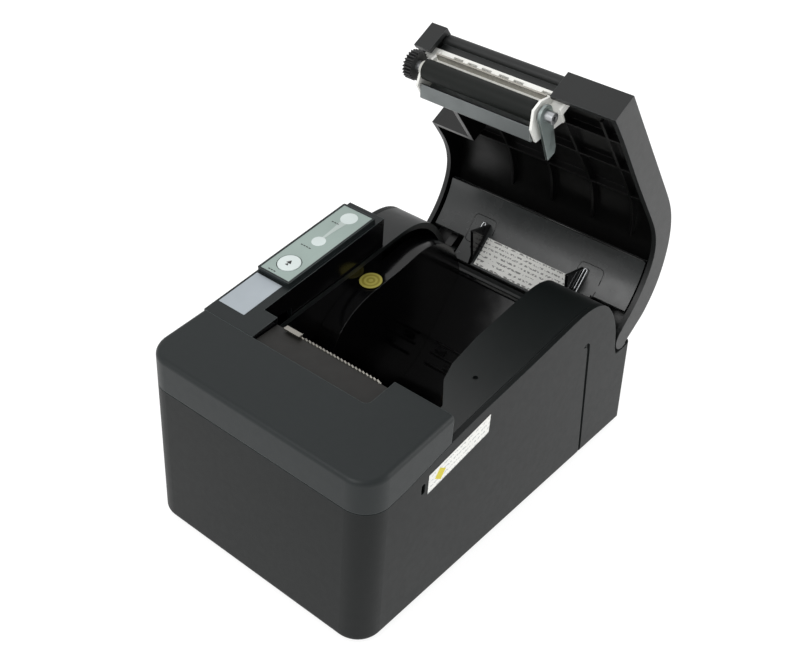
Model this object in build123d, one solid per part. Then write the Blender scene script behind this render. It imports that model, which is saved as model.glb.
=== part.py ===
from build123d import *
import math
import os

# Clamshell receipt printer for 58 mm paper, cover open.
# Working axes: X across (right seen from the front), Y from the front wall back, Z up from the case floor.
# The cover, its platen and its fittings are drawn closed and then turned open about the hinge.
# The finished model is moved so that its origin is the bottom centre of its whole box.

# Casing, millimetres
body_width = 125.0
body_depth = 206.0
rear_lean = 6.5             # how far the back wall leans forward at the hinge channel
front_seam_z = 73.7         # seam between lower case and bezel on the front face
bezel_seam_z = 81.7         # the same seam where the bezel ends on the sides
bezel_front_z = 90.2        # top of the bezel above the front wall
bezel_depth = 50.3
bezel_bar_depth = 33.5      # front bar of the bezel, before the inset
top_knee_z = 96.2           # bezel top at its back edge, where the cover starts
hump_z = 96.0               # crest of the side walls
top_slope = 9.06            # degrees, cover top behind the knee
crown_rise = 14.5           # crest of the closed cover above the hump crest
wall = 2.5
floor_thickness = 2.5
corner_radius = 12.0
rear_corner_radius = 3.0
seam_gap = 0.4
part_gap = 0.6

# Hinge and cover
hinge_back = 15.5           # hinge axis in front of the back wall's foot
hinge_drop = 35.5           # hinge axis below the hump crest
open_angle = 60.0
hinge_end_radius = 6.7
hinge_ear_clearance = 0.1
hinge_ear_radius = hinge_end_radius - wall - hinge_ear_clearance    # turns inside the cover's wall
hinge_pin_radius = 2.0
hinge_clearance = 0.05
hinge_ear_inner = 41.0      # first case ear, from the middle
hinge_ear_width = 3.0
hinge_knuckle_width = 4.4
hinge_side_gap = 0.3
cover_left_edge = -39.5     # front part of the cover stops at the control strip
strip_length = 78.3         # control strip behind the knee
rib_thickness = 1.4
rib_depth = 3.4
lip_radius = 2.8            # rounded front edge of the cover over the platen

# Paper, platen and print mechanism
bin_left = -29.5
bin_right = 30.5
roll_radius = 44.0
roll_centre_y = 121.0
roll_centre_z = 56.0
bin_skin = 2.0
platen_y = 54.5
platen_z = 75.4
platen_radius = 4.5
platen_left = -28.0
platen_right = 29.0
shaft_radius = 2.5
gear_module = 0.5
platen_teeth = 24
idler_teeth = 30
motor_teeth = 14
gear_width = 4.0
gear_left = -36.5
idler_direction = 240.0     # degrees in the side view, from the platen axis to the idler axis
motor_direction = idler_direction - 3 * 360.0 / idler_teeth    # three idler teeth away
frame_left = -31.5          # outer faces of the mechanism's side plates
frame_right = 31.2
frame_base_z = 42.9
cross_wall_y = 38.8
stud_radius = 1.45
motor_radius = 8.4
cutter_module = 0.8
cutter_teeth = 14
cutter_pinion_y = 30.0
rack_face = 32.2            # pitch line side of the rack, from the middle
tear_gap = 1.7              # tear edge in front of the cover's front edge
blade_z = 84.1
blade_thickness = 0.6
sheet = 1.2                 # sheet metal of the frames and brackets
bracket_top = 88.5
bracket_screw_y = 68.0
bracket_screw_x = (-20.0, 21.0)

# Control panel
strip_right = -41.0
strip_front_right = -33.0
inset_right = 32.0
inset_corner = 3.0
panel_left = -61.8
panel_right = -42.2
panel_start = 15.9          # distances along the strip behind the knee
panel_end = 74.6
panel_height = 2.6
panel_border = 1.1
overlay_thickness = 0.7
button_at = 26.5
button_radius = 5.5
button_clearance = 0.4
panel_x = -52.0             # middle line of the button and the windows
lens_places = ((46.0, 3.4), (67.0, 4.2))
rocker_tilt = 8.0
rocker_pin = 0.8
label_thickness = 0.1
foot_radius = 6.0
foot_height = 1.5
screw_inset = 16.0          # case screws, from the side walls
screw_front = 16.0
screw_rear = 20.0
screw_head = 2.7
screw_shank = 1.55
screw_clearance = 0.05
head_clearance = 0.3

# Back wall
socket_bottom = 5.2         # top of the board
socket_back = 1.6           # sockets' mouths in front of the back wall's foot
switch_x = -46.0
usb_x = -20.0
drawer_x = 5.0
power_x = 30.0

half = body_width / 2
inside = half - wall
hinge_y = body_depth - hinge_back
hinge_z = hump_z - hinge_drop
rear_top_y = body_depth - rear_lean
hump_y = hinge_y - 40.0
slope = math.tan(math.radians(top_slope))
strip_back = bezel_depth + strip_length
crown_z = hump_z + crown_rise
channel_z = hinge_z - 8.1


def block(x, y, z):
    """Box from three (low, high) pairs."""
    size = [high - low for low, high in (x, y, z)]
    middle = [(high + low) / 2 for low, high in (x, y, z)]
    return Pos(*middle) * Box(*size)


def side(points):
    """Side-view points (y, z) as 3-D points in the middle plane."""
    return [Vector(0, y, z) for y, z in points]


def polygon(points):
    return Face(Wire.make_polygon(side(points), close=True))


def slab(face, x_low, x_high):
    """Side-view face carried across from x_low to x_high."""
    return extrude(Pos(x_low, 0, 0) * face, amount=x_high - x_low, dir=(1, 0, 0))


def rod(y, z, radius, x_low, x_high):
    """Round bar along X."""
    return Pos((x_low + x_high) / 2, y, z) * Rot(0, 90, 0) * Cylinder(radius, x_high - x_low)


def upright(x, y, z, radius, height):
    """Round bar standing on height z."""
    return Pos(x, y, z) * Cylinder(radius, height, align=(Align.CENTER, Align.CENTER, Align.MIN))


def drum(y, z, inner, outer, x_low, x_high):
    return rod(y, z, outer, x_low, x_high) - rod(y, z, inner, x_low - 1, x_high + 1)


def top_z(y):
    """Height of the straight cover and strip top at a depth."""
    return top_knee_z + slope * (y - bezel_depth)


def seam_path():
    """Top edge of the side walls, from the front over the humps to the hinge channel and the back wall."""
    start = (corner_radius, front_seam_z)
    points = [
        start,
        (bezel_depth, bezel_seam_z),
        (hump_y - 57, hump_z - 7.6),
        (hump_y - 16, hump_z - 1.3),
        (hump_y, hump_z),
        (hump_y + 12, hump_z - 3.2),
        (hump_y + 21.5, hump_z - 11.5),
        (hump_y + 29, hump_z - 25),
        (hinge_y - 7.3, hinge_z - 3),
    ]
    curve = Spline(side(points), tangents=[(0, 1, 0.1), (0, 0.2, -1)])
    foot = Line(*side([points[-1], (hinge_y - 5, channel_z)]))
    channel = Line(*side([(hinge_y - 5, channel_z), (rear_top_y - 6, channel_z)]))
    lip = Line(*side([(rear_top_y - 6, channel_z), (rear_top_y, channel_z + 1.5)]))
    return [Line(*side([(0, front_seam_z), start])), curve, foot, channel, lip]


def under_seam(gap=0.0):
    """Side-view region under the seam, moved up and back by a gap."""
    last = (rear_top_y, channel_z + 1.5)
    close = Polyline(*side([last, (body_depth + 40, channel_z + 1.5), (body_depth + 40, -40), (-40, -40)]))
    front = Polyline(*side([(-40, -40), (-40, front_seam_z), (0, front_seam_z)]))
    face = Face(Wire(seam_path() + close.edges() + front.edges()))
    return Pos(0, 0.75 * gap, gap) * face


def cover_top_path():
    """Outer side profile of the closed cover, from its front edge over the crown to the hinge."""
    start = (bezel_depth + 1.0, top_z(bezel_depth + 1.0))
    bend = (strip_back - 2.0, top_z(strip_back - 2.0))
    points = [
        bend,
        (hump_y + 1.5, crown_z),
        (hump_y + 17.5, crown_z - 4.4),
        (hump_y + 30.5, crown_z - 13),
        (hinge_y - 0.2, hinge_z + 25.5),
        (hinge_y + 5.4, hinge_z + 12),
        (hinge_y + hinge_end_radius, hinge_z),
    ]
    return [Line(*side([start, bend])), Spline(side(points), tangents=[(0, 1, slope), (0, 0.02, -1)])]


def cover_outline(floor_z):
    """Closed cover profile shut by straight lines down to floor_z."""
    y_front = bezel_depth + 1.0
    y_back = hinge_y + hinge_end_radius
    corners = [(y_back, hinge_z), (y_back, floor_z), (y_front, floor_z), (y_front, top_z(y_front))]
    ends = Polyline(*side(corners))
    return Face(Wire(cover_top_path() + ends.edges()))


def casing_block():
    """Full outer block of the casing with its rounded upright corners."""
    height = crown_z + 20
    back_y = body_depth - rear_lean * height / (channel_z + 1.5)
    solid = slab(polygon([(0, 0), (0, height), (back_y, height), (body_depth, 0)]), -half, half)
    standing = solid.edges().filter_by(lambda e: abs(e.tangent_at(0.5).X) < 0.01 and e.length > height * 0.9)
    solid = fillet(standing.sort_by(Axis.Y)[:2], corner_radius)
    rear = [e for e in solid.edges() if e.length > height * 0.9 and e.center().Y > body_depth / 2
            and abs(e.tangent_at(0.5).X) < 0.01]
    return fillet(rear, rear_corner_radius)


def casing_cavity(low):
    """Inside of the casing, a wall smaller all round."""
    height = crown_z + 30
    lean = rear_lean / (channel_z + 1.5)
    back_low = body_depth - wall - lean * low
    back_high = body_depth - wall - lean * height
    points = [(wall, low), (wall, height), (back_high, height), (back_low, low)]
    solid = slab(polygon(points), -inside, inside)
    front = [e for e in solid.edges() if abs(e.tangent_at(0.5).Z) > 0.95 and e.center().Y < body_depth / 2]
    return fillet(front, corner_radius - wall)


def spur_gear(teeth, module, width, bore, turn=0.0):
    """Spur gear about X with straight-flanked teeth, thinned for backlash and relieved at the tips."""
    pitch = teeth * module / 2
    root = pitch - 1.25 * module
    tip = pitch + 0.9 * module
    half_pitch = math.pi / (2 * teeth) * 0.86
    spread = math.tan(math.radians(20)) * module
    corners = []
    for tooth in range(teeth):
        middle = 2 * math.pi * tooth / teeth + math.radians(turn)
        wide = half_pitch + 1.25 * spread / pitch
        narrow = half_pitch - spread / pitch
        for angle, radius in ((-wide, root), (-narrow, tip), (narrow, tip), (wide, root)):
            corners.append((radius * math.cos(middle + angle), radius * math.sin(middle + angle)))
    gear = slab(polygon(corners), 0, width)
    return gear - rod(0, 0, bore, -1, width + 1) if bore else gear


def coil(radius, wire, length, turns):
    """Helical spring along Z with its lowest point at 0."""
    pitch = (length - 2 * wire) / turns
    path = Helix(pitch=pitch, height=length - 2 * wire, radius=radius)
    ring = Plane(origin=path @ 0, z_dir=path % 0) * Circle(wire)
    return Pos(0, 0, wire) * sweep(ring, path=path)


def strip_plane():
    """Local plane on the straight top behind the knee: X across, Y back along the slope, Z out of the top."""
    tilt = math.radians(top_slope)
    normal = (0, -math.sin(tilt), math.cos(tilt))
    return Plane(origin=(0, bezel_depth, top_knee_z), x_dir=(1, 0, 0), z_dir=normal)


def lower_case(shell_block):
    solid = shell_block & slab(under_seam(), -half - 1, half + 1)
    solid -= casing_cavity(floor_thickness)
    mouths = ((usb_x, 13.0, 4.0), (drawer_x, 15.0, 4.0), (power_x, 15.0, 4.0), (switch_x, 16.6, 6.0))
    for x, width, low in mouths:
        solid -= block((x - width / 2, x + width / 2), (body_depth - 12, body_depth + 5), (low, low + 14.0))
    groove = polygon([(150.8, 76.2), (153.8, 76.2), (155.7, 74.6), (156.3, 72.0), (167.9, -1), (165.8, -1),
                      (154.0, 72.2), (152.8, 74.2), (150.8, 74.4)])
    for x in (-half - 1, half - 1.0):
        solid -= slab(groove, x, x + 2.0)
    slot = Pos(half, 33.8, 68.3) * Rot(0, 90, 0) * SlotOverall(5.6, 2.4)
    solid -= extrude(slot, amount=wall + 1, both=True)
    for x, y in screw_places():
        post = upright(x, y, 0, 3.6, 9.0)
        bore = upright(x, y, -1, screw_shank + screw_clearance, 12.0)
        head = upright(x, y, -1, screw_head + head_clearance, 2.6)
        solid = solid + post - bore - head
    for x in (-34.0, 34.0):
        for y in (28.0, 44.0):
            solid += upright(x, y, floor_thickness, 2.6, frame_base_z - floor_thickness)
    return solid


def screw_places():
    sides = (-half + screw_inset, half - screw_inset)
    return [(x, y) for x in sides for y in (screw_front, body_depth - screw_rear)]


def case_screws():
    """Four screws from below, shared by one node."""
    return [upright(x, y, 0.2, screw_head, 1.3) + upright(x, y, 1.5, screw_shank, 6.5)
            for x, y in screw_places()]


def rubber_feet():
    feet = []
    for x in (-half + 12, half - 12):
        for y in (30.0, body_depth - 36):
            foot = upright(x, y, -foot_height, foot_radius, foot_height)
            feet.append(chamfer(foot.edges().group_by(Axis.Z)[0], 0.4))
    return feet


def bezel_top_face(drop):
    """Side-view region of the bezel under its own sloping top."""
    top_front = bezel_front_z - drop
    top_back = top_knee_z - drop
    points = [(-1, top_front), (0, top_front), (bezel_depth, top_back), (bezel_depth, 0), (-1, 0)]
    return polygon(points)


def front_bezel(shell_block):
    solid = shell_block & slab(bezel_top_face(0), -half - 1, half + 1)
    solid -= block((-half - 1, inset_right), (bezel_bar_depth, bezel_depth + 1), (0, 200))
    corner = [e for e in solid.edges() if abs(e.center().X - inset_right) < 0.01
              and abs(e.center().Y - bezel_bar_depth) < 0.01]
    solid = fillet(corner, inset_corner)
    rim = [e for e in solid.edges() if e.center().Z > bezel_front_z - 2
           and (e.center().Y < corner_radius + 1 or abs(e.center().X) > half - 1)
           and abs(e.tangent_at(0.5).Z) < 0.5]
    solid = fillet(rim, 2.6)
    solid -= slab(under_seam(seam_gap), -half - 1, half + 1)
    cavity = casing_cavity(0) & slab(bezel_top_face(wall), -half, half)
    arm = block((inset_right + wall, inside), (bezel_bar_depth - wall, bezel_depth - wall), (0, 200))
    bar = block((-inside, inside), (0, bezel_bar_depth - wall), (0, 200))
    solid -= cavity & (arm + bar)
    clear = block((-inside, inside), (wall + 1, bezel_depth + 1), (0, bezel_front_z - 2.4))
    return solid - (clear & casing_cavity(0))


def cutter_cover():
    """Inset panel between the bezel bar and the tear edge."""
    rear = bezel_depth - tear_gap
    top_front = 91.8
    top_rear = 92.9
    face = polygon([(bezel_bar_depth + part_gap, top_front), (rear, top_rear), (rear, top_rear - 2.2),
                    (bezel_bar_depth + part_gap, top_front - 2.2)])
    panel = slab(face, strip_front_right + part_gap, inset_right - part_gap)
    corner = [e for e in panel.edges() if e.center().X > inset_right - 1
              and e.center().Y < bezel_bar_depth + 1 and abs(e.tangent_at(0.5).Z) > 0.9]
    return fillet(corner, inset_corner - part_gap)


def tear_edge():
    """Toothed metal strip on the back of the inset panel, with a raised tab at its left end."""
    low_y = bezel_depth - tear_gap
    strip = block((platen_left + 1, platen_right - 3), (low_y, low_y + 0.8), (88.2, 92.9))
    tab = block((platen_left + 1, platen_left + 10), (low_y, low_y + 0.8), (92.9, 94.8))
    tab += block((platen_left + 1, platen_left + 10), (low_y - 1.8, low_y + 0.8), (94.0, 94.8))
    pitch = 2.0
    count = int((platen_right - platen_left - 4) / pitch)
    teeth = []
    for index in range(count):
        x = platen_left + 1 + pitch * index
        tooth = Polyline((x, low_y, 92.9), (x + pitch, low_y, 92.9), (x + pitch / 2, low_y, 93.7), close=True)
        if index * pitch > 9:
            teeth.append(extrude(Face(Wire(tooth.edges())), amount=0.8, dir=(0, 1, 0)))
    return strip + tab + teeth


def control_strip(shell_block):
    """Left top strip: its wall meets the side of the case, its inner wall stands beside the paper bin."""
    y_front = bezel_bar_depth + part_gap
    outline = polygon([(y_front, 40), (y_front, top_z(y_front)),
                       (strip_back, top_z(strip_back)), (strip_back, 40)])
    body = shell_block & slab(outline, -half - 1, strip_right)
    wide = slab(polygon([(y_front, 60), (y_front, top_z(y_front)), (bezel_depth - 1, top_z(bezel_depth - 1)),
                         (bezel_depth - 1, 60)]), strip_right - 1, strip_front_right)
    body = body + wide
    body -= slab(under_seam(seam_gap), -half - 1, -inside)
    low = y_front + wall
    high = strip_back - wall
    inner = polygon([(low, 0), (low, top_z(low) - wall), (high, top_z(high) - wall), (high, 0)])
    body -= slab(inner, -inside, strip_right - wall)
    body -= slab(polygon([(0, 0), (0, top_z(0) - wall), (bezel_depth - 1, top_z(bezel_depth - 1) - wall),
                          (bezel_depth - 1, 0)]), strip_right - wall - 1, strip_front_right - wall)
    body -= block((-inside, strip_front_right + 1), (0, bezel_depth + 16), (0, 88.4))
    body -= block((-inside, 0), (0, strip_back + 1), (0, 56))
    body -= slab(under_seam(seam_gap), -half, strip_right - wall)
    return body - strip_plane() * Pos(panel_x, button_at, 0) * Cylinder(3.0, 20)


def panel_frame():
    frame = block((panel_left, panel_right), (panel_start, panel_end), (0, panel_height))
    frame = fillet(frame.edges().filter_by(Axis.Z), 0.8)
    frame -= block((panel_left + panel_border, panel_right - panel_border),
                   (panel_start + panel_border, panel_end - panel_border),
                   (panel_height - 0.8, panel_height + 1))
    frame -= Pos(panel_x, button_at, 0) * Cylinder(button_radius + button_clearance, 20)
    for place, radius in lens_places:
        frame -= Pos(panel_x, place, panel_height) * Cylinder(radius, 3.2)
    return strip_plane() * frame


def panel_overlay():
    gap = panel_border + 0.05
    sheet_face = block((panel_left + gap, panel_right - gap), (panel_start + gap, panel_end - gap),
                       (panel_height - 0.8, panel_height - 0.8 + overlay_thickness))
    sheet_face -= Pos(panel_x, button_at, 0) * Cylinder(button_radius + button_clearance, 20)
    for place, radius in lens_places:
        sheet_face -= Pos(panel_x, place, 0) * Cylinder(radius, 20)
    return strip_plane() * sheet_face


def feed_button():
    cap = upright(panel_x, button_at, 1.3, button_radius, 1.5)
    cap = fillet(cap.edges().group_by(Axis.Z)[-1], 0.4)
    stem = upright(panel_x, button_at, -3.6, 2.0, 4.9)
    return strip_plane() * (cap + stem)


def button_spring():
    """Ring spring under the button's cap, round the stem."""
    return strip_plane() * Pos(panel_x, button_at, 0.2) * Torus(3.6, 0.2)


def led_windows():
    return [strip_plane() * upright(panel_x, place, panel_height - 1.6, radius, 1.5)
            for place, radius in lens_places]


def silver_label():
    return strip_plane() * block((-61.2, -45.6), (-8.8, 14.9), (0, 0.15))


def side_label():
    """Blank sticker on the right wall, parallel to the seam."""
    y_low, y_high, z_low, rise, height = 37.0, 77.0, 63.6, 7.4, 9.8
    face = polygon([(y_low, z_low), (y_high, z_low + rise),
                    (y_high, z_low + rise + height), (y_low, z_low + height)])
    return slab(face, half, half + label_thickness)


def top_deck():
    """Skin inside the side walls, cut open over the bin, the mechanism and the hinge channel."""
    outline = under_seam()
    skin = slab(outline, -inside + 0.2, inside - 0.2)
    skin -= slab(Pos(0, -0.8 * wall, -wall) * outline, -half, half)
    skin &= block((-half, half), (bezel_depth + 1, rear_top_y - wall - 0.6), (channel_z - 8, 200))
    opening = [(-40.0, 0), (-40.0, hinge_y - 7.6), (33.0, hinge_y - 7.6), (33.0, 105.0), (34.8, 86.0),
               (38.0, 76.0), (47.0, 64.0), (47.0, 0)]
    hole = Face(Wire.make_polygon([Vector(x, y, 0) for x, y in opening], close=True))
    skin -= extrude(hole, amount=200, dir=(0, 0, 1))
    skin -= block((-half, strip_right + 0.4), (0, strip_back + 0.3), (0, 200))
    dimple = Pos(47.8, 85.0, 88) * Cylinder(1.2, 4)
    return skin - dimple


def roll_bin():
    """Curved trough under the paper roll, with a sloping back shelf."""
    turn = math.radians(-35)
    front = (roll_centre_y - roll_radius, roll_centre_z + 3)
    rear = (roll_centre_y + roll_radius * math.cos(turn), roll_centre_z + roll_radius * math.sin(turn))
    bottom = (roll_centre_y, roll_centre_z - roll_radius)
    shelf = (hinge_y - 11.5, hinge_z - 1.5)
    start = (roll_centre_y - roll_radius, roll_centre_z)
    fore, aft = (Vector(0, roll_centre_y, roll_centre_z) + Vector(0, -roll_radius, 0).rotate(Axis.X, degrees)
                 for degrees in (45.0, 117.5))
    edges = [Line(*side([front, start])), ThreePointArc(side([start])[0], fore, side([bottom])[0]),
             ThreePointArc(side([bottom])[0], aft, side([rear])[0]), Line(*side([rear, shelf]))]
    top = Polyline(*side([shelf, (shelf[0], 120), (front[0], 120), front]))
    inner = Face(Wire(edges + top.edges()))
    outer = offset(inner, bin_skin, kind=Kind.INTERSECTION)
    trough = slab(outer - inner, bin_left, bin_right)
    trough &= block((bin_left, bin_right), (0, 250), (0, hinge_z - 0.5))
    return trough - block((3.0, 13.0), (roll_centre_y - 5, roll_centre_y + 5), (0, bottom[1] + 8))


def cheek_outline(front_y, raise_by):
    """Side-view plate beside the roll with an arched upper edge."""
    points = [(front_y, 60 + raise_by), (96, 77 + raise_by), (108, 81.5 + raise_by), (128, 85 + raise_by),
              (hump_y - 2, 88.5 + raise_by), (hump_y + 14, 84 + raise_by), (hump_y + 24, 73),
              (hinge_y - 11.5, 62)]
    base = Polyline(*side([points[-1], (hinge_y - 11.5, 44), (150, 8), (95, 8), (front_y, 44), points[0]]))
    return Face(Wire([Spline(side(points))] + base.edges()))


def left_cheek():
    return slab(cheek_outline(82.0, 0), strip_right + 0.1, bin_left)


def right_cheek():
    return slab(cheek_outline(84.0, -1.0), bin_right, bin_right + bin_skin)


def round_seal():
    """Round sticker lying on the left cheek's ledge."""
    disc = Cylinder(5.5, 0.3)
    return Pos(-35.2, 114.0, 83.35) * Rot(9, 0, 0) * disc


def near_end_sensor():
    """Sensor below the trough, its window filling a hole in the trough's floor."""
    skin_z = roll_centre_z - roll_radius - bin_skin
    top = skin_z - 0.4
    base = block((2.0, 14.0), (roll_centre_y - 6, roll_centre_y + 6), (top - 2.4, top))
    window = block((3.2, 12.8), (roll_centre_y - 4.8, roll_centre_y + 4.8), (top, skin_z + bin_skin - 0.2))
    return base + window


def paper_guide():
    """Chute from the bin's front lip to the print head."""
    rear = roll_centre_y - roll_radius - bin_skin - 0.4
    face = polygon([(rear, 57.6), (51.2, 63.2), (51.2, 64.4), (rear, 58.8)])
    return slab(face, bin_left + 0.6, bin_right - 0.6)


def idler_centre():
    reach = gear_module * (platen_teeth + idler_teeth) / 2
    turn = math.radians(idler_direction)
    return platen_y + reach * math.cos(turn), platen_z + reach * math.sin(turn)


def motor_centre():
    y, z = idler_centre()
    reach = gear_module * (idler_teeth + motor_teeth) / 2
    turn = math.radians(motor_direction)
    return y + reach * math.cos(turn), z + reach * math.sin(turn)


def mech_frame():
    """Folded sheet frame: two side plates, a cross wall behind the springs and a base."""
    motor_y, motor_z = motor_centre()
    idler_y, idler_z = idler_centre()
    base_z = frame_base_z
    plate = polygon([(26, base_z), (60.5, base_z + 20), (60.5, 77), (50, 77), (50, 81.6), (26, 81.6)])
    slot = polygon([(platen_y - 3.6, platen_z - 3.6), (platen_y + 3.9, platen_z - 3.6), (platen_y + 4.1, 90),
                    (platen_y - 3.6, 90)])
    left = slab(plate - slot, frame_left, frame_left + sheet)
    right = slab(plate - slot, frame_right, frame_right + sheet)
    left -= rod(motor_y, motor_z, 1.6, -40, -20)
    cross = block((frame_left, frame_right + sheet), (cross_wall_y, cross_wall_y + sheet), (70.0, 81.6))
    base = block((-38, 38), (26, 50), (base_z, base_z + sheet))
    stud = rod(idler_y, idler_z, stud_radius, gear_left - 0.4, frame_left)
    return left + right + cross + base + stud


def step_motor():
    motor_y, motor_z = motor_centre()
    body = rod(motor_y, motor_z, motor_radius, frame_left + sheet, -15.0)
    return body + rod(motor_y, motor_z, 3.0, -15.0, -13.5)


def motor_pinion():
    motor_y, motor_z = motor_centre()
    gear = Pos(gear_left, motor_y, motor_z) * spur_gear(motor_teeth, gear_module, gear_width, 0,
                                                        motor_direction + 180 + 180 / motor_teeth)
    return gear + rod(motor_y, motor_z, 1.5, gear_left + gear_width, frame_left + sheet)


def idler_gear():
    idler_y, idler_z = idler_centre()
    bore = stud_radius + hinge_clearance
    gear = spur_gear(idler_teeth, gear_module, gear_width, bore, idler_direction + 180)
    return Pos(gear_left, idler_y, idler_z) * gear


def print_head():
    face_y = platen_y - platen_radius - 0.3
    plate = block((platen_left, platen_right), (face_y - 1.6, face_y), (66, 81.2))
    plug = block((-12, 12), (face_y - 1.6, face_y - 1.0), (63.5, 66))
    return plate + plug


def heat_sink():
    face_y = platen_y - platen_radius - 1.9
    return block((platen_left, platen_right), (face_y - 2.2, face_y), (64.5, 81.2))


def head_springs():
    """Two coil springs that press the head towards the platen."""
    start = cross_wall_y + sheet
    length = platen_y - platen_radius - 4.1 - start
    springs = []
    for x in (-17.0, 18.0):
        springs.append(Pos(x, start, 75.5) * Rot(-90, 0, 0) * coil(2.2, 0.3, length, 4))
    return springs


def cutter_frame():
    plate = block((-38, 50), (12, 46.4), (blade_z - 2.4, blade_z - 0.2))
    rails = block((-29.0, -27.6), (14, 46.4), (blade_z - 0.2, blade_z + 1.6))
    rails += block((28.0, 29.2), (14, 17.5), (blade_z - 0.2, blade_z + 1.6))
    hole = Pos(cutter_pinion_x(), cutter_pinion_y, blade_z) * Cylinder(1.6, 12)
    return plate + rails - hole


def cutter_pinion_x():
    return rack_face + 0.9 * cutter_module + cutter_module * cutter_teeth / 2


def cutter_blade():
    """Flat blade with a shallow V edge and a side rack."""
    rear, front = 20.0, bezel_depth - 1.4
    points = [(-27.2, rear), (28.0, rear), (28.0, front), (0.4, front - 3.0), (-27.2, front)]
    face = Face(Wire.make_polygon([Vector(x, y, blade_z) for x, y in points], close=True))
    blade = extrude(face, amount=blade_thickness, dir=(0, 0, 1))
    root = rack_face - 0.35 * cutter_module
    rack = block((28.0, root), (19.0, 44.0), (blade_z, blade_z + 2.0))
    pitch = math.pi * cutter_module
    half_tooth = pitch / 4 * 0.86
    tip = rack_face + 1.8 * cutter_module
    spread = math.tan(math.radians(20)) * (tip - root) / 2
    for index in range(-4, 6):
        y = cutter_pinion_y + pitch * index
        corners = [(root - 0.1, y - half_tooth - spread), (root - 0.1, y + half_tooth + spread),
                   (tip, y + half_tooth - spread), (tip, y - half_tooth + spread)]
        tooth = Face(Wire.make_polygon([Vector(x, v, blade_z) for x, v in corners], close=True))
        rack += extrude(tooth, amount=2.0, dir=(0, 0, 1))
    return blade + rack


def cutter_pinion():
    gear = Rot(0, -90, 0) * spur_gear(cutter_teeth, cutter_module, 2.6, 0)
    shaft = upright(0, 0, -8, 1.5, 8)
    return Pos(cutter_pinion_x(), cutter_pinion_y, blade_z + 0.1) * (gear + shaft)


def cutter_motor():
    x = cutter_pinion_x()
    low, high = 58.0, blade_z - 2.4
    can = upright(x + 1.0, cutter_pinion_y, low, 7.0, high - low)
    return can - upright(x, cutter_pinion_y, high - 8, 1.6, 20)


def main_board():
    return block((-50, 50), (50, body_depth - 26), (socket_bottom - 1.6, socket_bottom))


def board_parts():
    """Chips and capacitors on the board, clear of the trough."""
    places = [((-44, -34), (60, 74), 2.2), ((36, 48), (60, 78), 2.4),
              ((-20, -6), (52, 66), 2.2), ((8, 16), (52, 60), 1.8)]
    chips = [block(x, y, (socket_bottom, socket_bottom + height)) for x, y, height in places]
    for x in (-44.0, -32.0, 40.0):
        chips.append(upright(x, body_depth - 46, socket_bottom, 4.0, 8.6))
    return chips


def socket(x, width, height, hollow_width, hollow_height):
    """Board socket whose mouth is in the back wall."""
    back = body_depth - socket_back
    solid = block((x - width / 2, x + width / 2), (back - 15, back), (socket_bottom, socket_bottom + height))
    middle = socket_bottom + height / 2
    return solid - block((x - hollow_width / 2, x + hollow_width / 2), (back - 11, back + 1),
                         (middle - hollow_height / 2, middle + hollow_height / 2))


def dc_socket():
    back = body_depth - socket_back
    height = 12.0
    middle = socket_bottom + height / 2
    solid = block((power_x - 7, power_x + 7), (back - 13, back), (socket_bottom, socket_bottom + height))
    bore = Pos(power_x, back - 4, middle) * Rot(90, 0, 0) * Cylinder(4.6, 12)
    pins = [Pos(power_x + across, back - 7, middle + rise) * Rot(90, 0, 0) * Cylinder(0.5, 6.5)
            for across, rise in ((-3.2, -1.0), (3.2, -1.0), (0, 3.2))]
    return solid - bore + pins


def switch_housing():
    back = body_depth - 0.9
    solid = block((switch_x - 8, switch_x + 8), (back - 12, back), (6.4, 19.6))
    solid -= block((switch_x - 6.4, switch_x + 6.4), (back - 9, back + 1), (8.4, 17.6))
    return solid - Pos(switch_x, back - 4.0, 13.0) * Cylinder(rocker_pin + hinge_clearance, 11.8)


def power_switch():
    """Rocker on an upright pivot, one end pushed in."""
    back = body_depth - 0.9
    points = [(-5.8, -0.6), (5.8, -0.6), (5.8, 2.1), (0, 3.6), (-5.8, 2.1)]
    face = Face(Wire.make_polygon([Vector(x, y, 0) for x, y in points], close=True))
    rocker = extrude(face, amount=8.6, dir=(0, 0, 1)) + Pos(0, 0, 4.3) * Cylinder(rocker_pin, 11.2)
    return Pos(switch_x, back - 4.0, 8.7) * Rot(0, 0, rocker_tilt) * rocker


def hinge_ears():
    """Case ears, two on each side of each cover knuckle."""
    far = hinge_ear_inner + hinge_ear_width + hinge_knuckle_width + 2 * hinge_side_gap
    ears = []
    web = polygon([(hinge_y - 2.0, channel_z - wall), (hinge_y + 2.0, channel_z - wall),
                   (hinge_y + 2.0, hinge_z), (hinge_y - 2.0, hinge_z)])
    for start in (hinge_ear_inner, far):
        for x in (start, -start - hinge_ear_width):
            ring = rod(hinge_y, hinge_z, hinge_ear_radius, x, x + hinge_ear_width)
            ear = ring + slab(web, x, x + hinge_ear_width)
            ears.append(ear - rod(hinge_y, hinge_z, hinge_pin_radius, x - 1, x + hinge_ear_width + 1))
    return ears


def hinge_pins():
    length = 2 * hinge_ear_width + hinge_knuckle_width + 2 * hinge_side_gap
    pins = []
    for x in (hinge_ear_inner, -hinge_ear_inner - length):
        pins.append(rod(hinge_y, hinge_z, hinge_pin_radius, x, x + length))
    return pins


def hinge_springs():
    """Torsion springs round the pins' outer ends, drawn as closed turns."""
    springs = []
    start = hinge_ear_inner + 2 * hinge_ear_width + hinge_knuckle_width + 2 * hinge_side_gap
    for side_sign in (-1, 1):
        for turn in range(4):
            x = side_sign * (start + 0.6 + 0.9 * turn)
            springs.append(Pos(x, hinge_y, hinge_z) * Rot(0, 90, 0) * Torus(3.0, 0.4))
    return springs


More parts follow.
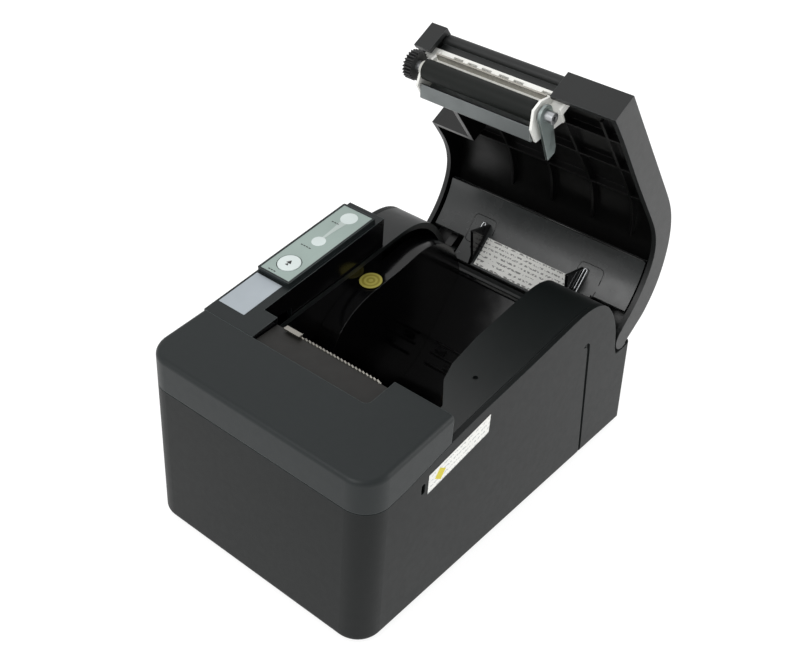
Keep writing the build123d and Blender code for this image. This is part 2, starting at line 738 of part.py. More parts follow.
def cover_shell(shell_block):
    knuckle = hinge_ear_inner + hinge_ear_width + hinge_side_gap
    outer = cover_outline(40.0)
    band = slab(outer, -half, half) - slab(under_seam(2 * seam_gap), -half - 1, half + 1)
    band &= block((-half, half), (0, hinge_y + 20), (hinge_z, 200))
    solid = shell_block & band
    hollow = Pos(0, -wall, -wall) * outer
    solid -= slab(hollow, -inside, inside) & block((-half, half), (bezel_depth + 1 + wall, 300), (0, 300))
    notch = block((-half - 1, cover_left_edge), (0, strip_back + seam_gap), (0, 200))
    solid -= notch
    reach = hinge_end_radius
    turn = [(hinge_y + reach, hinge_z), (hinge_y, hinge_z - reach), (hinge_y - reach, hinge_z)]
    bow = ThreePointArc(*side(turn))
    flat = Line(*side([(hinge_y - reach, hinge_z), (hinge_y + reach, hinge_z)]))
    for x in (inside, -half):
        solid += slab(Face(Wire([bow, flat])), x, x + wall)
    upper = slab(outer, -half, half) - slab(under_seam(2 * seam_gap), -half - 1, half + 1)
    step_y = strip_back + seam_gap
    walls = block((cover_left_edge, cover_left_edge + wall), (bezel_depth + 1, step_y + wall), (84, 200))
    walls += block((-half, cover_left_edge + wall), (step_y, step_y + wall), (84, 200))
    solid += walls & upper
    lip_y = platen_y + 0.1
    solid -= block((platen_left - 3, platen_right + 2.4), (0, lip_y + lip_radius), (0, 200))
    lip_z = top_z(lip_y + lip_radius) - lip_radius - 0.05
    solid += rod(lip_y + lip_radius, lip_z, lip_radius, platen_left - 3.5, platen_right + 2.9)
    solid += block((platen_left - 3.5, platen_right + 2.9), (lip_y + 2.2, lip_y + 4.4), (88.6, lip_z))
    roof = Pos(0, -wall, 0.3 - wall) * outer - Pos(0, -wall, -wall - rib_depth) * outer
    rib_zone = block((-half, half), (lip_y + 20, hump_y + 16), (85, 200))
    for x in (-26.0, -2.0, 22.0, 44.0):
        solid += slab(roof, x, x + rib_thickness) & rib_zone
    for y in (88.0, 114.0, 140.0):
        left = cover_left_edge if y < strip_back else -inside
        cross_zone = block((-half, half), (y, y + rib_thickness), (85, 200))
        solid += slab(roof, left + 0.5, inside) & cross_zone
    for x in (knuckle, -knuckle - hinge_knuckle_width):
        arm = polygon([(hinge_y - 3.4, hinge_z), (hinge_y + 3.4, hinge_z), (hinge_y + 4.6, hinge_z + 14),
                       (hinge_y + 1.5, hinge_z + 20), (hinge_y - 4, hinge_z + 20)])
        ear = rod(hinge_y, hinge_z, hinge_ear_radius, x, x + hinge_knuckle_width)
        ear = ear + slab(arm, x, x + hinge_knuckle_width) & (slab(outer, x, x + hinge_knuckle_width))
        ear -= rod(hinge_y, hinge_z, hinge_pin_radius + hinge_clearance, x - 1, x + hinge_knuckle_width + 1)
        solid += ear
    return solid


def panel_region():
    """Side view of the smooth guide inside the cover's back, following the humps below it."""
    inner = [(hump_y + 18.5, hump_z - 4.8), (hump_y + 25.5, hump_z - 12.5), (hump_y + 31.8, hump_z - 25),
             (hinge_y - 5.0, hinge_z - 3.0)]
    outer = [(hinge_y - 3.2, hinge_z - 3.0), (hump_y + 33.8, hump_z - 24.6), (hump_y + 27.2, hump_z - 11.4),
             (hump_y + 19.6, hump_z - 3.2)]
    edges = [Spline(side(inner)), Line(*side([inner[-1], outer[0]])), Spline(side(outer)),
             Line(*side([outer[-1], inner[0]]))]
    return Face(Wire(edges))


def inner_panel():
    region = panel_region()
    clear = hinge_ear_inner - 2.0
    solid = slab(region, -clear, clear)
    for low, high in ((-inside + 1.5, -clear), (clear, inside - 1.5)):
        solid += slab(region, low, high) & block((low, high), (0, 300), (hinge_z + 9, 200))
    return solid


def roll_flanges():
    """Two triangular guides that keep the roll in the middle."""
    points = [(hump_y + 28.0, hump_z - 16.5), (hump_y + 31.8, hump_z - 25), (hinge_y - 5.0, hinge_z - 3.0),
              (hinge_y - 8.0, hinge_z + 0.7), (hump_y + 17.1, hump_z - 29.1)]
    return [slab(polygon(points), x, x + 1.6) for x in (-29.1, 28.4)]


def flange_springs():
    wires = []
    ends = ((hump_y + 26.8, hump_z - 17.0), (hump_y + 31.6, hump_z - 31.5))
    for x in (-31.6, 32.2):
        path = Line(*[Vector(x, y, z) for y, z in ends])
        wires.append(sweep(Plane(origin=path @ 0, z_dir=path % 0) * Circle(0.45), path=path))
    return wires


def inner_label():
    """Blank white sheet on the inner panel, between the flanges."""
    region = panel_region()
    skin = Pos(0, -0.25, -0.12) * region - region
    return slab(skin, -26, 26) & block((-27, 27), (0, 300), (hinge_z - 2.0, hump_z - 22.5))


def platen_bracket():
    """White sheet bracket that carries the platen: front face with slots, top plate, two side plates."""
    face_y = platen_y + 2.0
    face = block((-36, 38), (face_y, face_y + sheet), (platen_z + platen_radius + 0.1, bracket_top))
    face -= block((-37, platen_left - 3.6), (face_y - 1, face_y + 3), (0, platen_z + 7.0))
    for index, x in enumerate((-22.0, -14.5, -7.0, 2.0, 9.5, 24.0)):
        width = 5.0 if index < 5 else 7.0
        face -= block((x, x + width), (face_y - 1, face_y + 3), (86.0, 87.3))
    rear_y = 74.0
    solid = face + block((-30, 31), (face_y, rear_y), (bracket_top - sheet, bracket_top))
    tab_y = bezel_depth + 1.0 + wall + part_gap
    solid += block((38 - sheet, 38), (tab_y, face_y), (platen_z + platen_radius + 0.1, bracket_top))
    for x, front_y in ((platen_left - 1.8, platen_y - 1.0), (platen_right + 0.6, platen_y - 4.5)):
        plate = polygon([(front_y, platen_z - 2.8), (front_y, platen_z + 2.8), (face_y, bracket_top),
                         (rear_y, bracket_top), (66.0, platen_z - 6.5), (platen_y + 3.0, platen_z - 7.2)])
        solid += slab(plate, x, x + sheet)
    for x in (platen_left - 1.8, platen_right + 0.6):
        solid -= rod(platen_y, platen_z, 3.2, x - 1, x + sheet + 1)
    return solid


def bracket_screws():
    return [upright(x, bracket_screw_y, bracket_top - sheet - 1.2, 2.2, 1.2) for x in bracket_screw_x]


def bracket_posts():
    """Bosses under the cover's roof that the bracket is screwed to."""
    return [upright(x, bracket_screw_y, bracket_top, 3.0, 9.0) for x in bracket_screw_x]


def guide_plate():
    """Bent sheet behind the platen that leads the paper into the nip."""
    points = [(57.8, 69.6), (63.6, 66.8), (65.2, 67.6), (65.2, 80), (64.0, 80), (64.0, 68.4), (58.3, 70.7)]
    return slab(polygon(points), platen_left - 0.3, platen_right + 0.3)


def fixed_blade():
    return block((platen_left, platen_right), (52.8, platen_y + 2.0), (blade_z - 1.1, blade_z - 0.3))


def platen_bushings():
    return [drum(platen_y, platen_z, shaft_radius + 0.05, 3.2, x, x + 1.6)
            for x in (platen_left - 2.0, platen_right + 0.4)]


def release_lever():
    """Flat lever on the platen's right end that lifts the bushing out of its slot."""
    x = platen_right + 3.7
    blade = polygon([(platen_y - 1.5, platen_z - 4.3), (platen_y + 1.6, platen_z + 4.0),
                     (75.5, platen_z + 1.0),
                     (78.0, platen_z - 0.6), (77.4, platen_z - 5.6)])
    ring = rod(platen_y, platen_z, 4.6, x, x + sheet)
    return slab(blade, x, x + sheet) + ring - rod(platen_y, platen_z, shaft_radius + 0.05, x - 1, x + 3)


def platen_shaft():
    shaft = rod(platen_y, platen_z, shaft_radius, gear_left - 0.8, platen_right + 9.0)
    return shaft - rod(platen_y, platen_z, 1.1, platen_right + 5.0, platen_right + 10)


def platen_roller():
    return drum(platen_y, platen_z, shaft_radius, platen_radius, platen_left, platen_right)


def platen_gear():
    turn = idler_direction + 180 / platen_teeth
    gear = spur_gear(platen_teeth, gear_module, gear_width, shaft_radius, turn)
    return Pos(gear_left, platen_y, platen_z) * gear


def opened(shape):
    return Pos(0, hinge_y, hinge_z) * Rot(-open_angle, 0, 0) * Pos(0, -hinge_y, -hinge_z) * shape


def solids_of(shape):
    pieces = shape if isinstance(shape, (list, tuple)) else [shape]
    return [solid for piece in pieces for solid in piece.solids()]


def build_all():
    shell_block = casing_block()
    deck = top_deck() + hinge_ears()
    fixed = {
        "lower_case": lower_case(shell_block),
        "case_screws": case_screws(),
        "rubber_feet": rubber_feet(),
        "front_bezel": front_bezel(shell_block),
        "cutter_cover": cutter_cover(),
        "tear_edge": tear_edge(),
        "control_strip": control_strip(shell_block),
        "panel_frame": panel_frame(),
        "panel_overlay": panel_overlay(),
        "led_windows": led_windows(),
        "silver_label": silver_label(),
        "side_label": side_label(),
        "top_deck": deck,
        "roll_bin": roll_bin(),
        "left_cheek": left_cheek(),
        "right_cheek": right_cheek(),
        "round_seal": round_seal(),
        "near_end_sensor": near_end_sensor(),
        "paper_guide": paper_guide(),
        "mech_frame": mech_frame(),
        "print_head": print_head(),
        "heat_sink": heat_sink(),
        "head_springs": head_springs(),
        "step_motor": step_motor(),
        "motor_pinion": motor_pinion(),
        "idler_gear": idler_gear(),
        "cutter_frame": cutter_frame(),
        "cutter_blade": cutter_blade(),
        "cutter_pinion": cutter_pinion(),
        "cutter_motor": cutter_motor(),
        "main_board": main_board(),
        "board_parts": board_parts(),
        "usb_socket": socket(usb_x, 12.4, 11.0, 8.6, 7.9),
        "drawer_socket": socket(drawer_x, 14.4, 12.4, 9.8, 6.8),
        "dc_socket": dc_socket(),
        "switch_housing": switch_housing(),
        "power_switch": power_switch(),
        "feed_button": feed_button(),
        "button_spring": button_spring(),
        "hinge_pins": hinge_pins(),
        "hinge_springs": hinge_springs(),
    }
    moving = {
        "cover_shell": cover_shell(shell_block) + bracket_posts(),
        "inner_panel": inner_panel(),
        "roll_flanges": roll_flanges(),
        "flange_springs": flange_springs(),
        "inner_label": inner_label(),
        "platen_bracket": platen_bracket(),
        "bracket_screws": bracket_screws(),
        "guide_plate": guide_plate(),
        "fixed_blade": fixed_blade(),
        "platen_bushings": platen_bushings(),
        "release_lever": release_lever(),
        "platen_shaft": platen_shaft(),
        "platen_roller": platen_roller(),
        "platen_gear": platen_gear(),
    }
    nodes = {name: solids_of(shape) for name, shape in fixed.items()}
    for name, shape in moving.items():
        nodes[name] = [opened(solid) for solid in solids_of(shape)]
    return nodes


def main():
    nodes = build_all()
    boxes = [solid.bounding_box() for solids in nodes.values() for solid in solids]
    front = min(box.min.Y for box in boxes)
    back = max(box.max.Y for box in boxes)
    home = Pos(0, -(front + back) / 2, -min(box.min.Z for box in boxes))
    os.makedirs("parts", exist_ok=True)
    for name, solids in nodes.items():
        placed = [home * solid for solid in solids]
        shape = placed[0] if len(placed) == 1 else Compound(children=placed)
        export_step(shape, f"parts/{name}.step")
    print("moved by", tuple(round(value, 4) for value in home.position))
    print("hinge axis at", round(hinge_y + home.position.Y, 4), round(hinge_z + home.position.Z, 4))


if __name__ == "__main__":
    main()
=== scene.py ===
import math

import bpy
import numpy as np
from mathutils import Matrix, Vector


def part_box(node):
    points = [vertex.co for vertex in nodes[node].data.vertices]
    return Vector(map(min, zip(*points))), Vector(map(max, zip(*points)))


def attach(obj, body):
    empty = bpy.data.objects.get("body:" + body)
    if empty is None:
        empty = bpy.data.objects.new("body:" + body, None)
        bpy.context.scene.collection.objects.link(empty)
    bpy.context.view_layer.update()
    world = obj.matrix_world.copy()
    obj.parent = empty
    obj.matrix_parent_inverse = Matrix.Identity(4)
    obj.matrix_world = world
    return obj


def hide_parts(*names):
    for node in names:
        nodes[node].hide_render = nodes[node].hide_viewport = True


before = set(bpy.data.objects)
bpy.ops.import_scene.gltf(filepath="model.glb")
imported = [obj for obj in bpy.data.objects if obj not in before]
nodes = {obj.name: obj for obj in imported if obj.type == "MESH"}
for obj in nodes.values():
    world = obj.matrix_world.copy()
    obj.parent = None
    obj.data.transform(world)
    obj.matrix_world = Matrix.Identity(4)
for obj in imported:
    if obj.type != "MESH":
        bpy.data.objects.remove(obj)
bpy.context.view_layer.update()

scene = bpy.context.scene
print("frame loaded:", len(nodes), "pieces")

cameraSettings = {
    "place": (0.25306, -0.34925, 0.38824),
    "right": (0.76943775, 0.63571657, 0.06188685),
    "up": (-0.41384329, 0.42238876, 0.80642511),
    "lens": 51.57,
}
lightSettings = {
    "skyStrength": 0.8,
    "floorGlow": 0.82,
    "floorTint": 0.3,
    "floorRough": 0.9,
    "floorReach": 3.0,
    # name: (place, aims at, width, power, tint)
    "lamps": {
        "topSoftbox": ((-0.25, 0.1, 1.1), (0, 0, 0.06), 0.9, 1.2, (1.0, 1.0, 1.0)),
        "rightSoftbox": ((0.95, 0.85, 0.45), (0.06, 0.06, 0.08), 0.6, 5.5, (1.0, 0.99, 0.98)),
        "frontSoftbox": ((-0.2, -1.0, 0.9), (0, 0.08, 0.12), 0.7, 5.0, (1.0, 1.0, 1.0)),
    },
}


def toLinear(color):
    # sRGB out of 255 to linear light
    value = np.array(color[:3], float) / 255
    low = value / 12.92
    high = ((value + 0.055) / 1.055) ** 2.4
    return tuple(np.where(value <= 0.04045, low, high)) + (1.0,)


def addCamera(look):
    camera = bpy.data.objects.new("mainCamera", bpy.data.cameras.new("mainCamera"))
    right, up = Vector(look["right"]).normalized(), Vector(look["up"]).normalized()
    back = right.cross(up)
    turn = Matrix((right, up, back)).transposed().to_4x4()
    camera.matrix_world = Matrix.Translation(look["place"]) @ turn
    camera.data.lens = look["lens"]
    camera.data.clip_start = 0.01
    scene.collection.objects.link(camera)
    scene.camera = camera


def addLights(look):
    world = bpy.data.worlds.new("studioSky")
    scene.world = world
    world.use_nodes = True
    sky = world.node_tree.nodes["Background"]
    sky.inputs["Color"].default_value = (1, 1, 1, 1)
    sky.inputs["Strength"].default_value = look["skyStrength"]
    for name, (place, target, width, power, tint) in look["lamps"].items():
        lamp = bpy.data.lights.new(name, "AREA")
        lamp.shape = "SQUARE"
        lamp.size = width
        lamp.energy = power
        lamp.color = tint
        holder = bpy.data.objects.new(name, lamp)
        holder.location = place
        holder.rotation_euler = (Vector(target) - Vector(place)).to_track_quat("-Z", "Y").to_euler()
        scene.collection.objects.link(holder)


def addFloor(look):
    reach = look["floorReach"]
    mesh = bpy.data.meshes.new("paleFloor")
    corners = [(-reach, -reach, 0), (reach, -reach, 0), (reach, reach, 0), (-reach, reach, 0)]
    mesh.from_pydata(corners, [], [(0, 1, 2, 3)])
    floor = bpy.data.objects.new("paleFloor", mesh)
    scene.collection.objects.link(floor)
    paint = bpy.data.materials.new("paleFloorPaint")
    paint.use_nodes = True
    shader = paint.node_tree.nodes["Principled BSDF"]
    shader.inputs["Base Color"].default_value = (look["floorTint"],) * 3 + (1,)
    shader.inputs["Roughness"].default_value = look["floorRough"]
    shader.inputs["Emission Color"].default_value = (1, 1, 1, 1)
    shader.inputs["Emission Strength"].default_value = look["floorGlow"]
    mesh.materials.append(paint)


addCamera(cameraSettings)
addLights(lightSettings)
addFloor(lightSettings)
scene.view_settings.view_transform = "Standard"
print("camera, floor and light placed")

finishSettings = {
    # tint and the edge colour are sRGB, and the edge colour is wear plus a painted highlight on the edges;
    # grain is in texture cells per metre; bump is in metres
    "caseGrain": dict(tint=(15, 18, 18), edgeWearAndHighlight=(72, 78, 78), rough=0.5, spread=0.02,
                      grain=2600, bump=0.00003, edge=0.0005, mottle=18, gleam=0.22),
    "bezelGrain": dict(tint=(16, 23, 24), edgeWearAndHighlight=(86, 96, 96), rough=0.46, spread=0.02,
                       grain=2600, bump=0.00003, edge=0.0005, mottle=18, gleam=0.36),
    "coverGrain": dict(tint=(18, 20, 20), edgeWearAndHighlight=(84, 88, 88), rough=0.44, spread=0.02,
                       grain=2600, bump=0.00003, edge=0.0004, mottle=18, gleam=0.42),
    "insetSatin": dict(tint=(28, 27, 25), edgeWearAndHighlight=(76, 74, 71), rough=0.5, spread=0.05,
                       grain=1800, bump=0.00003, edge=0.0003, mottle=40, gleam=0.34),
    "blackGloss": dict(tint=(6, 6, 7), edgeWearAndHighlight=(26, 28, 30), rough=0.13, spread=0.03,
                       grain=900, bump=0.000004, edge=0.0004, mottle=30),
    "deckSatin": dict(tint=(16, 20, 20), edgeWearAndHighlight=(60, 64, 64), rough=0.4, spread=0.02,
                      grain=2400, bump=0.00002, edge=0.0, mottle=18),
    "panelSatin": dict(tint=(50, 52, 52), edgeWearAndHighlight=(90, 94, 94), rough=0.26, spread=0.04,
                       grain=1200, bump=0.000008, edge=0.0, mottle=34),
    "rollerRubber": dict(tint=(18, 21, 19), edgeWearAndHighlight=(36, 39, 38), rough=0.5, spread=0.04,
                         grain=3200, bump=0.00002, edge=0.0002, mottle=60, gleam=0.2),
    "footRubber": dict(tint=(18, 18, 18), edgeWearAndHighlight=(44, 44, 44), rough=0.8, spread=0.08,
                       grain=1600, bump=0.00008, edge=0.0002, mottle=60),
    "whiteNylon": dict(tint=(196, 196, 190), edgeWearAndHighlight=(225, 225, 220), rough=0.42, spread=0.06,
                       grain=1200, bump=0.00002, edge=0.0001, mottle=60),
    "lensMilk": dict(tint=(214, 224, 222), edgeWearAndHighlight=(235, 240, 240), rough=0.22, spread=0.05,
                     grain=900, bump=0.00001, edge=0.0002, mottle=50),
    "bandFilm": dict(tint=(180, 191, 187), edgeWearAndHighlight=(200, 210, 206), rough=0.34, spread=0.04,
                     grain=2400, bump=0.00001, edge=0.0, mottle=30),
    "whitePaper": dict(tint=(226, 226, 222), edgeWearAndHighlight=(240, 240, 238), rough=0.6, spread=0.05,
                       grain=3200, bump=0.00001, edge=0.0, mottle=40),
    "chipBlack": dict(tint=(20, 20, 21), edgeWearAndHighlight=(60, 60, 60), rough=0.42, spread=0.08,
                      grain=2200, bump=0.00002, edge=0.0002, mottle=70),
    "motorBlack": dict(tint=(16, 16, 17), edgeWearAndHighlight=(70, 70, 72), rough=0.36, spread=0.1,
                       grain=1500, bump=0.00003, edge=0.0003, mottle=60),
    "ceramicHead": dict(tint=(168, 150, 118), edgeWearAndHighlight=(200, 190, 170), rough=0.26, spread=0.05,
                        grain=1600, bump=0.00001, edge=0.0001, mottle=60),
}
metalSettings = {
    # lines is the stretch of the drawn grain along X
    "zincSheet": dict(tint=(168, 170, 172), edgeWearAndHighlight=(215, 215, 216), rough=0.34, spread=0.12,
                      grain=700, lines=14, bump=0.00003, edge=0.0003),
    "paleCoat": dict(tint=(240, 240, 235), edgeWearAndHighlight=(246, 246, 244), rough=0.42, spread=0.08,
                     grain=900, lines=3, bump=0.00002, edge=0.0003, metal=0.05),
    "greyPlate": dict(tint=(122, 126, 126), edgeWearAndHighlight=(180, 182, 182), rough=0.4, spread=0.1,
                      grain=900, lines=10, bump=0.00003, edge=0.0002),
    "springWire": dict(tint=(190, 192, 194), edgeWearAndHighlight=(220, 220, 222), rough=0.22, spread=0.06,
                       grain=1200, lines=6, bump=0.00001, edge=0.0),
    "castAlloy": dict(tint=(140, 150, 148), edgeWearAndHighlight=(200, 206, 204), rough=0.45, spread=0.1,
                      grain=1300, lines=2, bump=0.00005, edge=0.0003),
    "silverFoil": dict(tint=(172, 180, 186), edgeWearAndHighlight=(215, 220, 224), rough=0.4, spread=0.08,
                       grain=1400, lines=18, bump=0.00001, edge=0.0, metal=0.45),
    "goldPlate": dict(tint=(200, 165, 80), edgeWearAndHighlight=(230, 205, 130), rough=0.28, spread=0.08,
                      grain=1200, lines=4, bump=0.00001, edge=0.0),
    "toothSteel": dict(tint=(158, 155, 148), edgeWearAndHighlight=(230, 228, 220), rough=0.3, spread=0.1,
                       grain=1500, lines=10, bump=0.00002, edge=0.0001),
}


class NodeBench:
    # short ways to add and link shader nodes in one material
    def __init__(self, name):
        self.material = bpy.data.materials.new(name)
        self.material.use_nodes = True
        self.tree = self.material.node_tree
        self.shader = self.tree.nodes["Principled BSDF"]
        self.coords = self.add("ShaderNodeTexCoord")

    def add(self, kind, **settings):
        node = self.tree.nodes.new(kind)
        for key, value in settings.items():
            setattr(node, key, value)
        return node

    def link(self, source, target):
        self.tree.links.new(source, target)

    def place(self, scale=(1, 1, 1), offset=(0, 0, 0), turn=(0, 0, 0)):
        mapping = self.add("ShaderNodeMapping")
        mapping.inputs["Scale"].default_value = scale
        mapping.inputs["Location"].default_value = offset
        mapping.inputs["Rotation"].default_value = turn
        self.link(self.coords.outputs["Object"], mapping.inputs["Vector"])
        return mapping.outputs["Vector"]

    def noise(self, scale, detail, vector=None):
        node = self.add("ShaderNodeTexNoise")
        node.inputs["Scale"].default_value = scale
        node.inputs["Detail"].default_value = detail
        self.link(vector or self.coords.outputs["Object"], node.inputs["Vector"])
        return node.outputs["Fac"]

    def spread(self, value, low, high, newLow, newHigh):
        node = self.add("ShaderNodeMapRange")
        for key, number in (("From Min", low), ("From Max", high), ("To Min", newLow), ("To Max", newHigh)):
            node.inputs[key].default_value = number
        self.link(value, node.inputs["Value"])
        return node.outputs["Result"]

    def math(self, kind, first, second=None):
        node = self.add("ShaderNodeMath", operation=kind)
        for socket, value in zip(node.inputs, (first, second)):
            if value is None:
                continue
            if isinstance(value, (int, float)):
                socket.default_value = value
            else:
                self.link(value, socket)
        return node.outputs["Value"]

    def mix(self, amount, first, second):
        node = self.add("ShaderNodeMix", data_type="RGBA")
        self.link(amount, node.inputs["Factor"])
        for socket, value in ((node.inputs[6], first), (node.inputs[7], second)):
            if isinstance(value, tuple):
                socket.default_value = value
            else:
                self.link(value, socket)
        return node.outputs[2]

    def edges(self, radius):
        # how far the rounded normal leaves the flat one: 0 on faces, near 1 at corners
        bevel = self.add("ShaderNodeBevel", samples=4)
        bevel.inputs["Radius"].default_value = radius
        geometry = self.add("ShaderNodeNewGeometry")
        dot = self.add("ShaderNodeVectorMath", operation="DOT_PRODUCT")
        self.link(bevel.outputs["Normal"], dot.inputs[0])
        self.link(geometry.outputs["Normal"], dot.inputs[1])
        flat, corner = 0.995, 0.8
        return bevel.outputs["Normal"], self.spread(dot.outputs["Value"], flat, corner, 0.0, 1.0)

    def bump(self, height, distance, normal):
        node = self.add("ShaderNodeBump")
        node.inputs["Distance"].default_value = distance
        self.link(height, node.inputs["Height"])
        if normal:
            self.link(normal, node.inputs["Normal"])
        return node.outputs["Normal"]

    def socket(self, name):
        return self.shader.inputs[name]


def buildFinish(name, look, extra=None):
    # colour drifts with a wide noise, roughness with a finer one, and edges are painted paler, partly wear
    # and partly a painted highlight
    bench = NodeBench(name)
    tint, edgeWearAndHighlight = toLinear(look["tint"]), toLinear(look["edgeWearAndHighlight"])
    stretch = (1, look.get("lines", 1), look.get("lines", 1))
    vector = bench.place(scale=stretch)
    grain = bench.noise(look["grain"], 2.0, vector)
    drift = bench.noise(look.get("mottle", 40), 4.0)
    darker, lighter = (tuple(value * share for value in tint[:3]) + (1.0,) for share in (0.95, 1.05))
    color = bench.mix(bench.spread(drift, 0.35, 0.65, 0.0, 1.0), darker, lighter)
    normal = None
    if look["edge"]:
        normal, edge = bench.edges(look["edge"])
        # painted highlight and wear: the edge mask blends in the paler edge colour
        wearAndHighlight = bench.math("MULTIPLY", edge, bench.spread(drift, 0.3, 0.7, 0.45, 0.95))
        color = bench.mix(wearAndHighlight, color, edgeWearAndHighlight)
    smoothest, roughest = look["rough"] - look["spread"], look["rough"] + look["spread"]
    rough = bench.spread(bench.noise(look["grain"] * 0.12, 3.0), 0.3, 0.7, smoothest, roughest)
    if extra:
        color, rough = extra(bench, color, rough)
    bench.link(color, bench.socket("Base Color"))
    bench.link(rough, bench.socket("Roughness"))
    bench.link(bench.bump(grain, look["bump"], normal), bench.socket("Normal"))
    bench.socket("Metallic").default_value = look.get("metal", 1.0 if "lines" in look else 0.0)
    bench.socket("Specular IOR Level").default_value = look.get("gleam", 0.5)
    return bench.material


wallGlossAndShade = {"facing": (0.7, 0.8), "tint": (6, 6, 7), "smoother": 0.42}


def glossAndShadeInnerWall(bench, color, rough):
    # the strip's inner wall is polished black and is also painted darker as painted shade; it is told from
    # the grained outside by the face's direction
    split = bench.add("ShaderNodeSeparateXYZ")
    bench.link(bench.coords.outputs["Normal"], split.inputs["Vector"])
    inner = bench.spread(split.outputs["X"], *wallGlossAndShade["facing"], 0.0, 1.0)
    # painted shade: the faces turned to +X take the darker tint
    color = bench.mix(inner, color, toLinear(wallGlossAndShade["tint"]))
    polished = bench.math("MULTIPLY", inner, wallGlossAndShade["smoother"])
    return color, bench.math("SUBTRACT", rough, polished)


coverPose = {
    # how far the cover stands open, in degrees, and its hinge line, in metres
    "turn": 60.0,
    "hinge": (0, 0.0810303, 0.062),
}
# where the painted shade inside the cover lies, and its tint
coverShadeMask = {
    # places in metres with the cover shut
    "halfWidth": 0.0601,
    "frontLimit": -0.0485,
    "slope": 0.1595,
    "skinAtZero": 0.1055,
    "outward": (0, 0.956, -0.256),
    "facing": 0.3,
    "tint": (6, 6, 6),
    "smoother": 0.12,
}


def paintedInsideShade(bench, color, rough):
    # painted shade: the cover's inner side is painted blacker for the shade inside it; points are turned to
    # the shut cover and kept if under its skin
    angle = math.radians(coverPose["turn"])
    hinge = Vector(coverPose["hinge"])
    shift = hinge - Matrix.Rotation(angle, 3, "X") @ hinge
    split = bench.add("ShaderNodeSeparateXYZ")
    bench.link(bench.place(turn=(angle, 0, 0), offset=tuple(shift)), split.inputs["Vector"])
    across = bench.math("LESS_THAN", bench.math("ABSOLUTE", split.outputs["X"]), coverShadeMask["halfWidth"])
    behind = bench.math("GREATER_THAN", split.outputs["Y"], coverShadeMask["frontLimit"])
    climb = bench.math("MULTIPLY", split.outputs["Y"], coverShadeMask["slope"])
    skin = bench.math("ADD", climb, coverShadeMask["skinAtZero"])
    under = bench.math("LESS_THAN", split.outputs["Z"], skin)
    facing = bench.add("ShaderNodeVectorMath", operation="DOT_PRODUCT")
    bench.link(bench.coords.outputs["Normal"], facing.inputs[0])
    facing.inputs[1].default_value = coverShadeMask["outward"]
    inward = bench.math("LESS_THAN", facing.outputs["Value"], coverShadeMask["facing"])
    inPlan = bench.math("MULTIPLY", across, behind)
    mask = bench.math("MULTIPLY", inPlan, bench.math("MULTIPLY", under, inward))
    smoother = bench.math("SUBTRACT", rough, bench.math("MULTIPLY", mask, coverShadeMask["smoother"]))
    return bench.mix(mask, color, toLinear(coverShadeMask["tint"])), smoother


lineSettings = {"bandStart": 0.62, "dashStart": 0.5, "inkShare": 0.75}


def ruledLines(rowPitch, dash, ink, mark=None, turn=(0, 0, 0)):
    # rows are bands of the turned Z coordinate, cut into dashes by a noise along the row
    def paint(bench, color, rough):
        vector = bench.place(turn=turn)
        split = bench.add("ShaderNodeSeparateXYZ")
        bench.link(vector, split.inputs["Vector"])
        row = bench.math("FRACT", bench.math("MULTIPLY", split.outputs["Z"], 1 / rowPitch))
        band = bench.math("GREATER_THAN", row, lineSettings["bandStart"])
        broken = bench.math("GREATER_THAN", bench.noise(dash, 2.0, vector), lineSettings["dashStart"])
        inked = bench.math("MULTIPLY", bench.math("MULTIPLY", band, broken), lineSettings["inkShare"])
        color = bench.mix(inked, color, toLinear(ink))
        if mark:
            center, reach, tint = mark
            away = [bench.math("ABSOLUTE", bench.math("SUBTRACT", split.outputs[axis], value))
                    for axis, value in zip("YZ", center)]
            inMark = bench.math("LESS_THAN", bench.math("ADD", *away), reach)
            color = bench.mix(inMark, color, toLinear(tint))
        return color, rough
    return paint


def ringPattern(center, tints, ringCount, reach):
    # rings round a point: the distance from the centre across the sticker picks the tint
    def paint(bench, color, rough):
        vector = bench.place(offset=tuple(-value for value in center))
        length = bench.add("ShaderNodeVectorMath", operation="LENGTH")
        bench.link(vector, length.inputs[0])
        turns = bench.math("MULTIPLY", length.outputs["Value"], ringCount * 2 * math.pi / reach)
        ring = bench.spread(bench.math("SINE", turns), -0.3, 0.3, 0.0, 1.0)
        return bench.mix(ring, toLinear(tints[0]), toLinear(tints[1])), rough
    return paint


boardSettings = {
    "Scale": 60,
    "Mortar Size": 0.012,
    "Color1": (0.012, 0.09, 0.035, 1),
    "Color2": (0.014, 0.11, 0.04, 1),
    "Mortar": (0.05, 0.26, 0.1, 1),
}


def boardPattern(bench, color, rough):
    # green mask over straight copper tracks
    brick = bench.add("ShaderNodeTexBrick")
    bench.link(bench.coords.outputs["Object"], brick.inputs["Vector"])
    for socket, value in boardSettings.items():
        brick.inputs[socket].default_value = value
    return brick.outputs["Color"], rough


stickerSettings = {
    "slope": 10.48,
    "rowPitch": 0.0026,
    "dash": 800,
    "ink": (165, 170, 170),
    # the yellow mark, back and up from the sticker's low corner
    "markPlace": (0.0075, 0.0062),
    "markReach": 0.0036,
    "markTint": (202, 188, 52),
}


def stickerLines(look):
    turn = -math.radians(look["slope"])
    low = Vector(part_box("side_label")[0])
    back, up = look["markPlace"]
    middle = Matrix.Rotation(turn, 3, "X") @ Vector((0, low.y + back, low.z + up))
    mark = ((middle.y, middle.z), look["markReach"], look["markTint"])
    return ruledLines(look["rowPitch"], look["dash"], look["ink"], mark, (turn, 0, 0))


sealSettings = {"tints": ((142, 132, 52), (176, 168, 84)), "rings": 2.5, "reach": 0.0055, "rough": 0.35}


def sealRings(look):
    low, high = (Vector(corner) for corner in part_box("round_seal"))
    return ringPattern((low + high) / 2, look["tints"], look["rings"], look["reach"])


